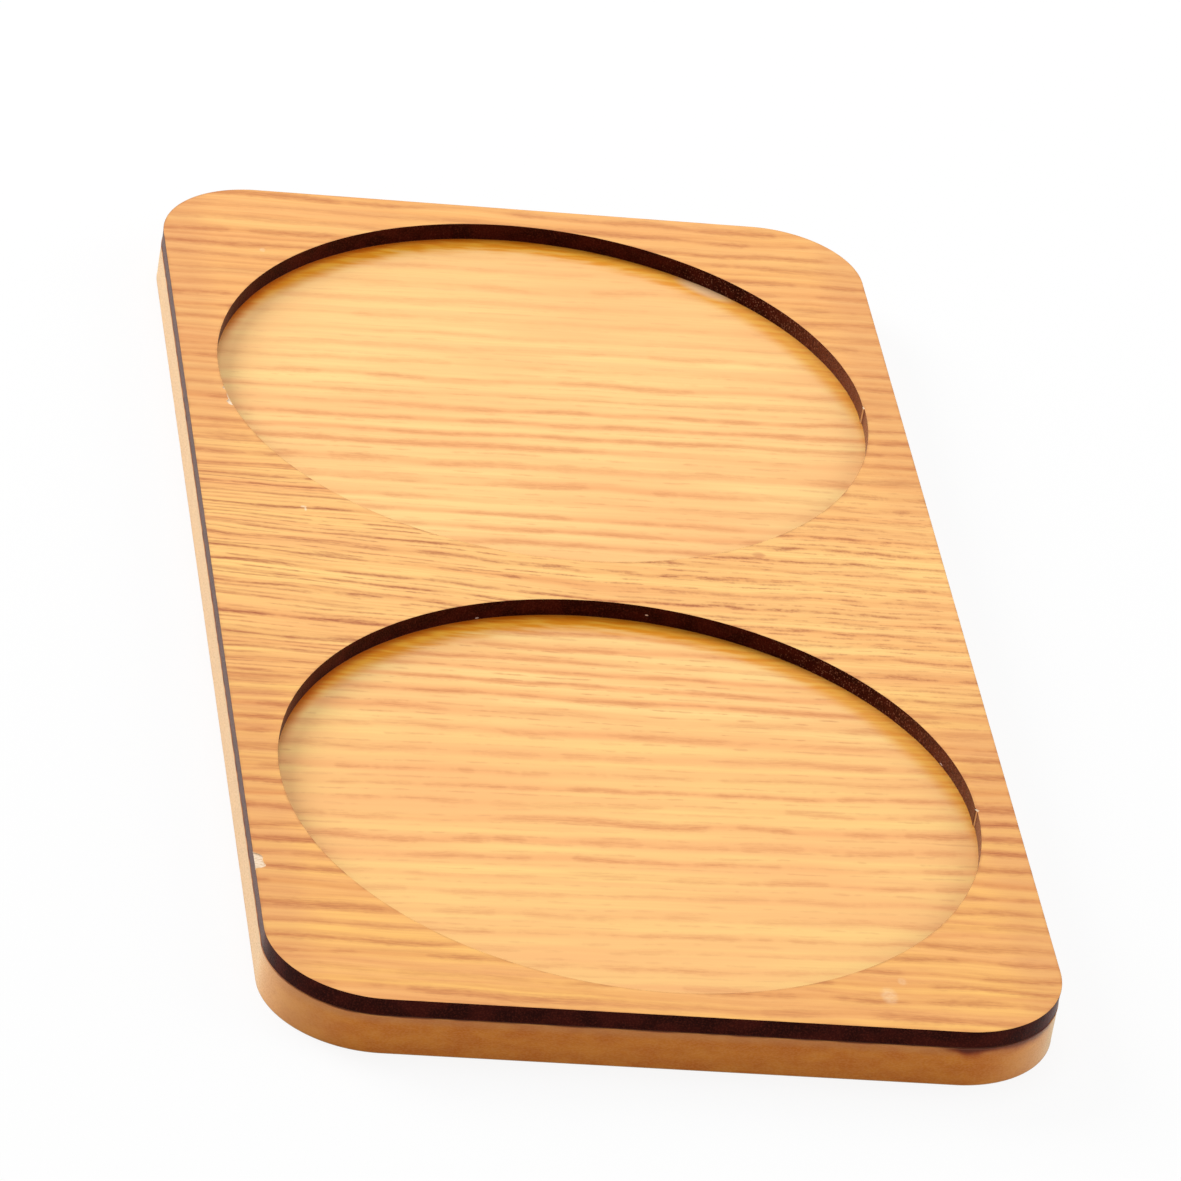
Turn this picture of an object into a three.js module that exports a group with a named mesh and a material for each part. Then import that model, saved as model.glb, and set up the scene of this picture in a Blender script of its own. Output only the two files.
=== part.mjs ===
// Drink coaster for two glasses: a thin laser-cut top panel with round wells, glued flat onto a
// fibre-board base panel of the same outline. Both panels are faced with an oak-print foil, and the
// base panel's foil is the floor of the wells.
// Millimetres. +X runs across the plate, +Y along its row of wells and +Z up.
// The origin is the centre of the underside.

import * as THREE from 'three';

// Driving dimensions in plan
const wellCount = 2;
const wellDiameter = 90;
const webWidth = 10; // narrowest land between two wells
const rimWidth = 5; // narrowest land between a well and the outer edge
const cornerRadius = 14.25;

// Driving dimensions of the layers, from the underside up
const backFoilThickness = 0.125;
const baseCoreThickness = 5.25;
const baseFoilThickness = 0.125;
const adhesiveThickness = 0.125;
const topCoreThickness = 2.25;
const topFoilThickness = 0.125;

// Smoothness of every round wall
const stepsPerQuarterTurn = 24;

// Derived dimensions
const wellPitch = wellDiameter + webWidth;
const plateWidth = wellDiameter + 2 * rimWidth;
const plateLength = (wellCount - 1) * wellPitch + plateWidth;
const outlineRadius = Math.min(cornerRadius, plateWidth / 2);

// Draws a rectangle with round corners about a point on the Y axis. Straight sides join its four arcs,
// and a square whose radius is half its side becomes a circle.
function drawRoundedRectangle(path, width, length, radius, centreY) {
  const arcX = width / 2 - radius;
  const arcY = length / 2 - radius;
  const arcCentres = [[arcX, arcY], [-arcX, arcY], [-arcX, -arcY], [arcX, -arcY]];
  const quarterTurn = Math.PI / 2;
  arcCentres.forEach(([x, y], corner) => {
    const startAngle = corner * quarterTurn;
    path.absarc(x, centreY + y, radius, startAngle, startAngle + quarterTurn);
  });
  return path;
}

// The outline that every layer shares
function plateOutline() {
  return drawRoundedRectangle(new THREE.Shape(), plateWidth, plateLength, outlineRadius, 0);
}

// The same outline with a round hole for each well
function plateOutlineWithWells() {
  const outline = plateOutline();
  for (let well = 0; well < wellCount; well += 1) {
    const centreY = (well - (wellCount - 1) / 2) * wellPitch;
    const hole = drawRoundedRectangle(
      new THREE.Path(), wellDiameter, wellDiameter, wellDiameter / 2, centreY,
    );
    outline.holes.push(hole);
  }
  return outline;
}

// Finishes
const oakFoilTop = new THREE.MeshStandardMaterial({ color: 0xe9b274, roughness: 0.5, metalness: 0 });
const oakFoilBase = new THREE.MeshStandardMaterial({ color: 0xf0c285, roughness: 0.45, metalness: 0 });
const charredBoard = new THREE.MeshStandardMaterial({ color: 0x2e150c, roughness: 0.85, metalness: 0 });
const fibreBoard = new THREE.MeshStandardMaterial({ color: 0xb57a45, roughness: 0.9, metalness: 0 });
const clearGlue = new THREE.MeshStandardMaterial({ color: 0xcfae7c, roughness: 0.6, metalness: 0 });
const backingPaper = new THREE.MeshStandardMaterial({ color: 0xc89a63, roughness: 0.7, metalness: 0 });

// The layers, from the underside up
const layers = [
  {
    name: 'base_back_foil',
    outline: plateOutline(),
    thickness: backFoilThickness,
    material: backingPaper,
  },
  {
    name: 'base_core',
    outline: plateOutline(),
    thickness: baseCoreThickness,
    material: fibreBoard,
  },
  {
    name: 'base_face_foil',
    outline: plateOutline(),
    thickness: baseFoilThickness,
    material: oakFoilBase,
  },
  {
    name: 'adhesive_film',
    outline: plateOutlineWithWells(),
    thickness: adhesiveThickness,
    material: clearGlue,
  },
  {
    name: 'top_core',
    outline: plateOutlineWithWells(),
    thickness: topCoreThickness,
    material: charredBoard,
  },
  {
    name: 'top_face_foil',
    outline: plateOutlineWithWells(),
    thickness: topFoilThickness,
    material: oakFoilTop,
  },
];

// Stacks the layers face to face. Vertices are 32-bit numbers, so the running height is rounded to
// 32 bits as well, and the two faces of each joint then lie at exactly the same height.
const coaster = new THREE.Group();
let height = 0;
for (const { name, outline, thickness, material } of layers) {
  const geometry = new THREE.ExtrudeGeometry(outline, {
    depth: thickness,
    bevelEnabled: false,
    curveSegments: stepsPerQuarterTurn / 2, // an arc is divided into two steps for each segment
  });
  const layer = new THREE.Mesh(geometry, material);
  layer.name = name;
  layer.position.z = height;
  coaster.add(layer);
  height = Math.fround(height + Math.fround(thickness));
}

export default coaster;
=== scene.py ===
# Drink coaster with two round wells, dressed for its portrait: a laser-cut panel with an oak-print face
# and charred edges, glued onto a fibre-board panel whose own oak-print face is the floor of the wells.
# Metres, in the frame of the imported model: +X across the plate, +Y along its wells, +Z up.
# Only the materials are written in millimetres.

import math
from typing import Any, NamedTuple

import bmesh
import bpy
import numpy as np
from mathutils import Matrix, Vector, noise


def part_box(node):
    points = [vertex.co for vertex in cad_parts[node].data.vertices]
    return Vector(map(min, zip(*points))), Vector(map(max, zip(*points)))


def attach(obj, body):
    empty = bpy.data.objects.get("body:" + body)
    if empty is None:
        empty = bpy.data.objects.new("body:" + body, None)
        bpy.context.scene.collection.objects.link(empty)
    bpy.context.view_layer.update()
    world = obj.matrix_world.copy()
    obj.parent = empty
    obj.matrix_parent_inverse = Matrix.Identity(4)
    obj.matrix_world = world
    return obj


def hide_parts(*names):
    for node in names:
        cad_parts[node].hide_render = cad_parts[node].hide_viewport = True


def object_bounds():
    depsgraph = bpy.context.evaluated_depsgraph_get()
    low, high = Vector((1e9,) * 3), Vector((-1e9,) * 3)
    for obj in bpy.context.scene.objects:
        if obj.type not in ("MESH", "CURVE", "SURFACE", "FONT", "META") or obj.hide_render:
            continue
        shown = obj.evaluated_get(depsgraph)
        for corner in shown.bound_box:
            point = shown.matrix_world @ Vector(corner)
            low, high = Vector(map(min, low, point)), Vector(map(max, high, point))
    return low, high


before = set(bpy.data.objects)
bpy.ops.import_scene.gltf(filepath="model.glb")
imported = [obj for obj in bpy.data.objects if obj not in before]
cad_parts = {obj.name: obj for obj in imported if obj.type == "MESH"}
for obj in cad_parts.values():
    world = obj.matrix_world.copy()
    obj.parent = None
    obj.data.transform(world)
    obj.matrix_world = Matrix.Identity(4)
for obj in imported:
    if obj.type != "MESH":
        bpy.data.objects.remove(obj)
cad_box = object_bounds()

# Sizes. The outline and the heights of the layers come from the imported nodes.
MM = 0.001
RIM_WIDTH = 5 * MM  # narrowest land between a well and the outer edge
CORNER_RADIUS = 14.25 * MM
QUARTER_TURN = math.pi / 2
FULL_TURN = 2 * math.pi

plate_low, plate_high = cad_box
plate_width = plate_high[0] - plate_low[0]
plate_length = plate_high[1] - plate_low[1]
plate_top = plate_high[2]
well_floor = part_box("base_face_foil")[1][2]
well_radius = plate_width / 2 - RIM_WIDTH
far_well_y = plate_length / 2 - RIM_WIDTH - well_radius  # the wells' centres lie on the Y axis
near_well_y = -far_well_y

# Outlines
POINT_SPACING = 0.3 * MM


class Outline:
    """A closed outline in plan: its points, and at each the direction that leads out of the material."""

    def __init__(self, points, normals):
        self.points = np.array(points)
        self.normals = np.array(normals)

    def bumps(self, length, seed):
        """Smooth noise from about -1 to 1 at each point, with bumps about this long."""
        return np.array([noise.noise((x, y, seed)) for x, y in self.points / length])


def arc(centre, radius, start, sweep):
    """Points on an arc without its last one, and the directions to them from its centre."""
    steps = round(radius * sweep / POINT_SPACING)
    angles = start + sweep * np.arange(steps) / steps
    directions = np.stack([np.cos(angles), np.sin(angles)], axis=1)
    return centre + radius * directions, directions


def straight_side(start, direction, length):
    """Points along a straight side without its last one."""
    steps = round(length / POINT_SPACING)
    along = length * np.arange(steps) / steps
    return start + np.outer(along, direction)


def plate_outline():
    """The rounded rectangle that every layer shares: four corners, each followed by a straight side."""
    reach = np.array([plate_width, plate_length]) / 2 - CORNER_RADIUS
    points = []
    normals = []
    for corner, signs in enumerate([(1, 1), (-1, 1), (-1, -1), (1, -1)]):
        centre = reach * signs
        start = corner * QUARTER_TURN
        end = start + QUARTER_TURN
        arc_points, arc_normals = arc(centre, CORNER_RADIUS, start, QUARTER_TURN)
        normal = np.array([math.cos(end), math.sin(end)])
        direction = np.array([-math.sin(end), math.cos(end)])
        side_points = straight_side(centre + CORNER_RADIUS * normal, direction, 2 * reach[corner % 2])
        points.extend([*arc_points, *side_points])
        normals.extend([*arc_normals, *[normal] * len(side_points)])
    return Outline(points, normals)


def well_outline(centre_y):
    """The round hole of one well. Its way out of the material is towards its middle."""
    points, directions = arc(np.array([0, centre_y]), well_radius, 0, FULL_TURN)
    return Outline(points, -directions)


def on_well(centre_y, degrees):
    """The point on a well's edge at an angle from +X."""
    angle = math.radians(degrees)
    return np.array([well_radius * math.cos(angle), centre_y + well_radius * math.sin(angle)])


outer_edge = plate_outline()
solid_plate = [outer_edge]
plate_with_wells = [outer_edge, well_outline(far_well_y), well_outline(near_well_y)]

# Chips in the top face
CHIP_RAGGEDNESS = 0.45  # how much a chip's depth varies, as a share of it
CHIP_TOOTH = 0.6  # how long the teeth of its edge are, as a share of half its width


class Chip(NamedTuple):
    """A flake that broke out along an edge: a point on the edge, half its width, and how deep it cuts in."""

    place: Any
    half_width: float
    depth: float

    def bite(self, outline):
        """How far the chip cuts into the material at each point of an outline."""
        distance = np.linalg.norm(outline.points - self.place, axis=1) / self.half_width
        teeth = outline.bumps(CHIP_TOOTH * self.half_width, seed=self.half_width / MM)
        depth = self.depth * (1 + CHIP_RAGGEDNESS * teeth)
        return depth * np.sqrt(np.clip(1 - distance**2, 0, None))


CHIPS = [
    Chip(on_well(far_well_y, -167.4), 0.8 * MM, 0.6 * MM),
    Chip(on_well(far_well_y, -169.2), 1.0 * MM, 0.2 * MM),
    Chip(on_well(far_well_y, -172.2), 0.45 * MM, 0.3 * MM),
    Chip(on_well(far_well_y, 0.8), 0.3 * MM, 0.25 * MM),
    Chip(on_well(near_well_y, 0.1), 0.3 * MM, 0.3 * MM),
    Chip(np.array([-plate_width / 2, -71.4 * MM]), 1.7 * MM, 1.5 * MM),
]


def chip_depths(outline):
    """How far the deepest chip cuts in at each point of an outline."""
    return np.max([chip.bite(outline) for chip in CHIPS], axis=0)


# Seams of the cut, where the laser began and ended each well and the wall has a small step
SEAMS = [on_well(far_well_y, 0.7), on_well(near_well_y, 0)]
SEAM_STEP = 0.2 * MM
SEAM_FADE = 3 * MM  # how far along the wall the step takes to fade away


def seam_steps(outline):
    """How far the wall stands out on the far side of each seam, at each point of an outline."""
    step = np.zeros(len(outline.points))
    for seam in SEAMS:
        past_x, past_y = (outline.points - seam).T
        beyond = (past_y > 0) & (np.abs(past_x) < SEAM_FADE)
        step += np.where(beyond, SEAM_STEP * np.exp(-past_y / SEAM_FADE), 0)
    return step


# Meshes
WALL = 0  # the places of a plate's two materials
CAP = 1


def new_piece(name, mesh, materials):
    """An object in the scene made from a bmesh, which is used up."""
    data = bpy.data.meshes.new(name)
    mesh.to_mesh(data)
    mesh.free()
    for material in materials:
        data.materials.append(material)
    piece = bpy.data.objects.new(name, data)
    bpy.context.scene.collection.objects.link(piece)
    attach(piece, "root")
    return piece


def around(ring):
    """Each vertex of a closed ring with the one after it."""
    return zip(ring, ring[1:] + ring[:1])


def add_rings(mesh, outline, section):
    """Rings of vertices round an outline, from below upwards."""
    rings = []
    for inset, height in section(outline):
        depth = np.broadcast_to(inset, len(outline.points))[:, None]
        places = outline.points - outline.normals * depth
        rings.append([mesh.verts.new((x, y, height)) for x, y in places])
    return rings


def add_walls(mesh, rings):
    """Smooth faces that join each ring to the next."""
    for lower, upper in zip(rings, rings[1:]):
        for (low_a, low_b), (high_a, high_b) in zip(around(lower), around(upper)):
            wall = mesh.faces.new((low_a, low_b, high_b, high_a))
            wall.smooth = True
            wall.material_index = WALL


def add_cap(mesh, rings):
    """A flat cap between rings of one height, whose edges become sharp."""
    edges = [mesh.edges.get(pair) for ring in rings for pair in around(ring)]
    filled = bmesh.ops.triangle_fill(mesh, use_beauty=False, edges=edges)
    for item in filled["geom"]:
        if isinstance(item, bmesh.types.BMFace):
            item.material_index = CAP
    for edge in edges:
        edge.smooth = False


def swept_plate(name, outlines, section, wall_material, cap_material):
    """A closed flat piece. section(outline) lists the rings of the wall from below upwards, each as how
    far it lies inside the outline and its height. Flat caps close the lowest and the highest rings."""
    mesh = bmesh.new()
    lowest = []
    highest = []
    for outline in outlines:
        rings = add_rings(mesh, outline, section)
        add_walls(mesh, rings)
        lowest.append(rings[0])
        highest.append(rings[-1])
    add_cap(mesh, lowest)
    add_cap(mesh, highest)
    bmesh.ops.recalc_face_normals(mesh, faces=mesh.faces)
    return new_piece(name, mesh, [wall_material, cap_material])


# Node trees
def srgb(red, green, blue):
    """A colour written as in a picture, from 0 to 255, in linear light with full opacity."""

    def linear(value):
        share = value / 255
        return share / 12.92 if share <= 0.04045 else ((share + 0.055) / 1.055) ** 2.4

    return (linear(red), linear(green), linear(blue), 1.0)


class Signal:
    """A number that a node gives at every point of a surface, so that trees can be written as sums."""

    def __init__(self, recipe, socket):
        self.recipe = recipe
        self.socket = socket

    def __add__(self, other):
        return self.recipe.math("ADD", self, other)

    def __sub__(self, other):
        return self.recipe.math("SUBTRACT", self, other)

    def __rsub__(self, other):
        return self.recipe.math("SUBTRACT", other, self)

    def __mul__(self, other):
        return self.recipe.math("MULTIPLY", self, other)

    def __truediv__(self, other):
        return self.recipe.math("DIVIDE", self, other)

    def __abs__(self):
        return self.recipe.math("ABSOLUTE", self)

    def at_least(self, other):
        return self.recipe.math("MAXIMUM", self, other)

    def at_most(self, other):
        return self.recipe.math("MINIMUM", self, other)

    def root(self):
        return self.recipe.math("SQRT", self)

    __radd__ = __add__
    __rmul__ = __mul__


class Recipe:
    """A material's node tree. Each call adds nodes and gives what comes out of them."""

    def __init__(self, name):
        self.material = bpy.data.materials.new(name)
        self.material.use_nodes = True
        self.tree = self.material.node_tree
        self.shader = self.tree.nodes["Principled BSDF"]
        self.colour = None

    def feed(self, socket, value):
        """Links a signal to a socket, or sets the socket to a plain value."""
        if isinstance(value, Signal):
            self.tree.links.new(value.socket, socket)
        else:
            socket.default_value = value

    def math(self, operation, first, second=0.0):
        node = self.tree.nodes.new("ShaderNodeMath")
        node.operation = operation
        self.feed(node.inputs[0], first)
        self.feed(node.inputs[1], second)
        return Signal(self, node.outputs[0])

    def place(self):
        """The x, y and z of the point, in millimetres."""
        coordinates = self.tree.nodes.new("ShaderNodeTexCoord")
        parts = self.tree.nodes.new("ShaderNodeSeparateXYZ")
        self.tree.links.new(coordinates.outputs["Object"], parts.inputs[0])
        return [Signal(self, output) / MM for output in parts.outputs]

    def vector(self, x, y, z=0.0):
        node = self.tree.nodes.new("ShaderNodeCombineXYZ")
        for socket, value in zip(node.inputs, (x, y, z)):
            self.feed(socket, value)
        return Signal(self, node.outputs[0])

    def noise(self, x, y, z=0.0, detail=0.0):
        """Smooth noise from 0 to 1, with bumps about one unit long."""
        node = self.tree.nodes.new("ShaderNodeTexNoise")
        self.feed(node.inputs["Vector"], self.vector(x, y, z))
        node.inputs["Scale"].default_value = 1.0
        node.inputs["Detail"].default_value = detail
        return Signal(self, node.outputs["Fac"])

    def bumps(self, place, sizes, detail=0.0, seed=0.0):
        """Smooth noise from 0 to 1, with bumps of these sizes along each part of the place."""
        first, *others = [signal / size for signal, size in zip(place, sizes)]
        return self.noise(first + seed, *others, detail=detail)

    def cells(self, place, size):
        """The distance to the nearest of the points strewn over cells of one size, as a share of that size,
        and a random number for that cell."""
        node = self.tree.nodes.new("ShaderNodeTexVoronoi")
        self.feed(node.inputs["Vector"], self.vector(*[signal / size for signal in place]))
        node.inputs["Scale"].default_value = 1.0
        parts = self.tree.nodes.new("ShaderNodeSeparateColor")
        self.tree.links.new(node.outputs["Color"], parts.inputs[0])
        return Signal(self, node.outputs["Distance"]), Signal(self, parts.outputs[0])

    def ramp(self, value, span, ends=(0.0, 1.0)):
        """Goes smoothly from the first end to the second as the value crosses the span."""
        node = self.tree.nodes.new("ShaderNodeMapRange")
        node.interpolation_type = "SMOOTHSTEP"
        names = ("Value", "From Min", "From Max", "To Min", "To Max")
        for name, setting in zip(names, (value, *span, *ends)):
            self.feed(node.inputs[name], setting)
        return Signal(self, node.outputs[0])

    def mix(self, amount, first, second):
        """Goes from the first colour to the second as the amount goes from 0 to 1."""
        node = self.tree.nodes.new("ShaderNodeMix")
        node.data_type = "RGBA"
        for socket, value in zip((node.inputs[0], node.inputs[6], node.inputs[7]), (amount, first, second)):
            self.feed(socket, value)
        return Signal(self, node.outputs[2])

    def paint(self, amount, colour):
        """Lays a colour over what is there: not at all where the amount is 0, and fully where it is 1."""
        self.colour = self.mix(amount, self.colour, colour)

    def sheen(self, weight, roughness, tint):
        self.shader.inputs["Sheen Weight"].default_value = weight
        self.shader.inputs["Sheen Roughness"].default_value = roughness
        self.shader.inputs["Sheen Tint"].default_value = tint

    def finish(self, roughness, relief, relief_depth, ior):
        """Sets the shader. The relief is a signal, and its depth the height in metres that 1 stands for."""
        bump = self.tree.nodes.new("ShaderNodeBump")
        bump.inputs["Distance"].default_value = relief_depth
        self.feed(bump.inputs["Height"], relief)
        self.tree.links.new(bump.outputs[0], self.shader.inputs["Normal"])
        self.feed(self.shader.inputs["Base Color"], self.colour)
        self.feed(self.shader.inputs["Roughness"], roughness)
        self.shader.inputs["IOR"].default_value = ior
        return self.material


# Places on the plate, for the materials. From here to the layers, lengths are in mm.
UNIT = (0, 1)
FALLING = (1, 0)
MOST_NOISE = (0.3, 0.7)  # the span that nearly all values of a noise lie in
MIDDLE = 0.5  # the mean of a noise, and the middle of a growth ring
half_width_mm = plate_width / 2 / MM
half_length_mm = plate_length / 2 / MM


class Change(NamedTuple):
    """A smooth change: the span of a value over which it happens, and what it goes from and to."""

    span: tuple
    ends: tuple = UNIT


def well_place(recipe, x, y):
    """The distance from the middle of the nearer well, and the direction there as x and y from -1 to 1."""
    local_y = y - recipe.math("SIGN", y) * (far_well_y / MM)
    distance = (x * x + local_y * local_y).root()
    return distance, x / distance, local_y / distance


def plate_inset(x, y):
    """The distance inwards from the outline of the plate."""
    radius = CORNER_RADIUS / MM
    reach_x = abs(x) - (half_width_mm - radius)
    reach_y = abs(y) - (half_length_mm - radius)
    past_x = reach_x.at_least(0.0)
    past_y = reach_y.at_least(0.0)
    past_corner = (past_x * past_x + past_y * past_y).root()
    short = reach_x.at_least(reach_y).at_most(0.0)
    return radius - past_corner - short


def spot(recipe, place, centre, reach):
    """A soft spot: 1 at its centre, and 0 from its reach on. Both are given along each axis."""
    shares = [(signal - middle) / half for signal, middle, half in zip(place, centre, reach)]
    return recipe.ramp(sum(share * share for share in shares), UNIT, FALLING)


BURNT_INSET = (7, 2)  # from the right side and from the near end
BURNT_REACH = (12, 7)
BURNT_SPAN = (0, 0.6)


def burnt_corner(recipe, x, y):
    """1 about the near right corner of the plate, where the laser burnt the edge below its cut, else 0."""
    centre = (half_width_mm - BURNT_INSET[0], BURNT_INSET[1] - half_length_mm)
    return recipe.ramp(spot(recipe, (x, y), centre, BURNT_REACH), BURNT_SPAN)


# Grain of the oak prints
RING_UNEVENNESS = 1.3  # how far growth rings stray from an even pitch, in pitches
RING_STRAY_LENGTH = 4  # over how many pitches they do so
ROW_SEED_STEP = 7.3  # sets the noise of one row apart from that of the next
WANDER = 0.6  # how far a row wanders from the middle of its ring, in pitches
WANDER_SIZE = (18, 1)  # along the row in mm, and from row to row
WANDER_SEED = 4.1
ROW_FADE_SIZE = (55, 1)
ROW_FADE = Change((0.3, 0.6), (0.45, 1))
BAND_BEFORE = 0.3  # how wide the band is on either side of its row, in pitches
BAND_AFTER = 0.45
GAP_SOFTNESS = 0.25
DASH_PALE_ENDS = Change((0, 0.6), (0.08, 1))
DASH_OUTLINE = (-1.2, 0.8)  # from where to where a dash fades out, in half widths
TOOTH_SIZE = (1, 0.3)  # of the teeth of a ragged dash
TOOTH_REACH = 1.6  # in half widths
STREAK_SIZE = (3, 0.25)  # of the streaks in a dash
STREAK_FADE = Change((0.3, 0.6), (0.3, 1))


class Sway(NamedTuple):
    """How the grain strays sideways: the size of its swings in x and y, and how far they reach."""

    size: tuple
    reach: float


class Grain(NamedTuple):
    """Rows of dashes: the distance between rows, a dash's length and half its width, the share of gaps in a
    row, from 0 to 1, and a number that sets this grain apart from the others."""

    pitch: float
    length: Any
    half_width: Any
    gaps: Any
    seed: float


def swayed(recipe, x, y, sways, seed=0.0):
    """The way across the grain, which is y but for the swings."""
    return y + sum(sway.reach * (recipe.bumps((x, y), sway.size, seed=seed) - MIDDLE) for sway in sways)


def grain_rows(recipe, along, across, grain):
    """A number for the row that the point belongs to, and how far from the row's middle the point lies."""
    stray = recipe.noise(grain.seed, across / (RING_STRAY_LENGTH * grain.pitch))
    ring = across / grain.pitch + RING_UNEVENNESS * stray
    row = recipe.math("FLOOR", ring) * ROW_SEED_STEP + grain.seed
    wander = recipe.bumps((along, row), WANDER_SIZE, detail=1, seed=WANDER_SEED) - MIDDLE
    offset = (recipe.math("FRACT", ring) - MIDDLE + WANDER * wander) * grain.pitch
    return row, offset


def dash_shapes(recipe, along, across, row, offset, grain):
    """The ragged, streaky dashes of the rows: 1 inside and 0 outside."""
    filling = recipe.bumps((along, row), (grain.length, 1), detail=3)
    filled = recipe.ramp(filling, (grain.gaps, grain.gaps + GAP_SOFTNESS))
    teeth = recipe.bumps((along, across), TOOTH_SIZE, detail=2, seed=grain.seed) - MIDDLE
    distance = abs(offset) + teeth * TOOTH_REACH * grain.half_width - filled * grain.half_width
    inside = recipe.ramp(distance, [share * grain.half_width for share in DASH_OUTLINE], FALLING)
    streaks = recipe.bumps((along, across), STREAK_SIZE, detail=2, seed=grain.seed)
    return inside * recipe.ramp(filled, *DASH_PALE_ENDS) * recipe.ramp(streaks, *STREAK_FADE)


def dash_rows(recipe, along, across, grain):
    """Rows of dark dashes along the grain, one for each growth ring, and the soft band beside each row."""
    row, offset = grain_rows(recipe, along, across, grain)
    strength = recipe.ramp(recipe.bumps((along, row), ROW_FADE_SIZE, seed=grain.seed), *ROW_FADE)
    dashes = dash_shapes(recipe, along, across, row, offset, grain)
    before = recipe.ramp(offset, (-BAND_BEFORE * grain.pitch, 0))
    after = recipe.ramp(offset, (0, BAND_AFTER * grain.pitch), FALLING)
    return dashes * strength, before * after * strength


# What both oak prints share
FOIL_IOR = 1.4
FIBRE_RELIEF = 0.3  # how deep the fibres are, as a share of the dashes' depth
TONE_SIZE = (60, 2.5)
PINK_SPAN = (0.4, 0.7)
FIBRE_SPAN = (0.3, 0.6)


def finish_print(recipe, fibres, rows, roughness, dash_roughness, relief_depth):
    """Sets the shader of a print, whose dashes are pressed in a little and rougher than the rest."""
    relief = FIBRE_RELIEF * fibres - rows
    return recipe.finish(roughness + dash_roughness * rows, relief, relief_depth, FOIL_IOR)


# Oak print of the top face: its ground
TOP_LAND_LIGHT = srgb(253, 206, 127)
TOP_LEFT_LIGHT = srgb(252, 204, 121)
TOP_NEAR_LIGHT = srgb(250, 192, 104)
TOP_FAR_LIGHT = srgb(247, 190, 114)
TOP_LAND_DARK = srgb(248, 188, 114)
TOP_END_DARK = srgb(244, 180, 104)
TOP_PINK = srgb(240, 172, 108)
TOP_FIBRE = srgb(224, 150, 84)
TOP_RIM = srgb(214, 150, 98)
LAND_TO_ENDS = (10, 45)  # from the land between the wells to either end of the plate
LEFT_TO_MIDDLE = (-50, -25)
NEAR_TO_FAR = (-20, 30)
TOP_SWAYS = [Sway((75, 32), 2.5), Sway((14, 5), 1)]
LEAN_MIDDLE = 4  # the y about which the rows on the left lean most
LEFT_LEAN = Change((4, 26), (0.085, 0.01))  # the slope, by the distance from there
TOP_PINK_SIZE = (35, 7)
TOP_PINK_AMOUNT = (0, 0.45)
TOP_FIBRE_SIZE = (14, 0.35)
TOP_FIBRE_AMOUNT = (0.3, 0)
RIM_SHADE = Change((42, 47), (0, 0.3))


def top_across(recipe, x, y):
    """The way across the grain of the top face, whose rows lean on the left."""
    lean = recipe.ramp(abs(y - LEAN_MIDDLE), *LEFT_LEAN)
    return swayed(recipe, x, y, TOP_SWAYS) + x.at_most(0.0) * lean


def paint_top_ground(recipe, x, y, across, ends):
    """The colour that the dashes of the top face lie on. Gives its fine fibres."""
    land_light = recipe.mix(recipe.ramp(x, LEFT_TO_MIDDLE), TOP_LEFT_LIGHT, TOP_LAND_LIGHT)
    end_light = recipe.mix(recipe.ramp(y, NEAR_TO_FAR), TOP_NEAR_LIGHT, TOP_FAR_LIGHT)
    light = recipe.mix(ends, land_light, end_light)
    dark = recipe.mix(ends, TOP_LAND_DARK, TOP_END_DARK)
    tone = recipe.bumps((x, across), TONE_SIZE, detail=1)
    recipe.colour = recipe.mix(recipe.ramp(tone, MOST_NOISE), light, dark)
    pinkish = recipe.bumps((x, across), TOP_PINK_SIZE, detail=2)
    recipe.paint(recipe.ramp(pinkish, PINK_SPAN, TOP_PINK_AMOUNT), TOP_PINK)
    fibres = recipe.bumps((x, across), TOP_FIBRE_SIZE, detail=3)
    recipe.paint(recipe.ramp(fibres, FIBRE_SPAN, TOP_FIBRE_AMOUNT), TOP_FIBRE)
    recipe.paint(recipe.ramp(abs(x), *RIM_SHADE) * ends, TOP_RIM)
    return fibres


# Oak print of the top face: its dashes
TOP_BAND = srgb(218, 138, 74)
TOP_FINE_DASH = srgb(180, 102, 58)
TOP_DASH = srgb(168, 92, 52)
TOP_BROAD_DASH = srgb(182, 104, 56)
SHORTER_TO_RIGHT = 0.01  # how fast the dashes of the land grow shorter to the right
TOP_GAPS = 0.38
FEWER_GAPS_LEFT = 0.08
TOP_FINE = Grain(pitch=1.05, length=9.0, half_width=0.2, gaps=TOP_GAPS, seed=5.1)
TOP_ROWS = Grain(pitch=3.0, length=12.0, half_width=0.36, gaps=TOP_GAPS, seed=3.7)
TOP_BROAD = Grain(pitch=3.5, length=11.0, half_width=0.75, gaps=0.33, seed=8.2)
TOP_NEAR_FADE = Change((-95, -50), (0.6, 1))
TOP_FAR_FADE = Change((15, 50), (1, 0.65))
TOP_RIGHT_FADE = Change((5, 45), (1, 0.8))
TOP_FINE_STRENGTH = (0.85, 0.25)  # on the land, and at the ends
TOP_ROW_STRENGTH = (1, 0.3)
LAND_BAND_STRENGTH = 0.35
END_BAND_STRENGTH = 0.7


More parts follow.
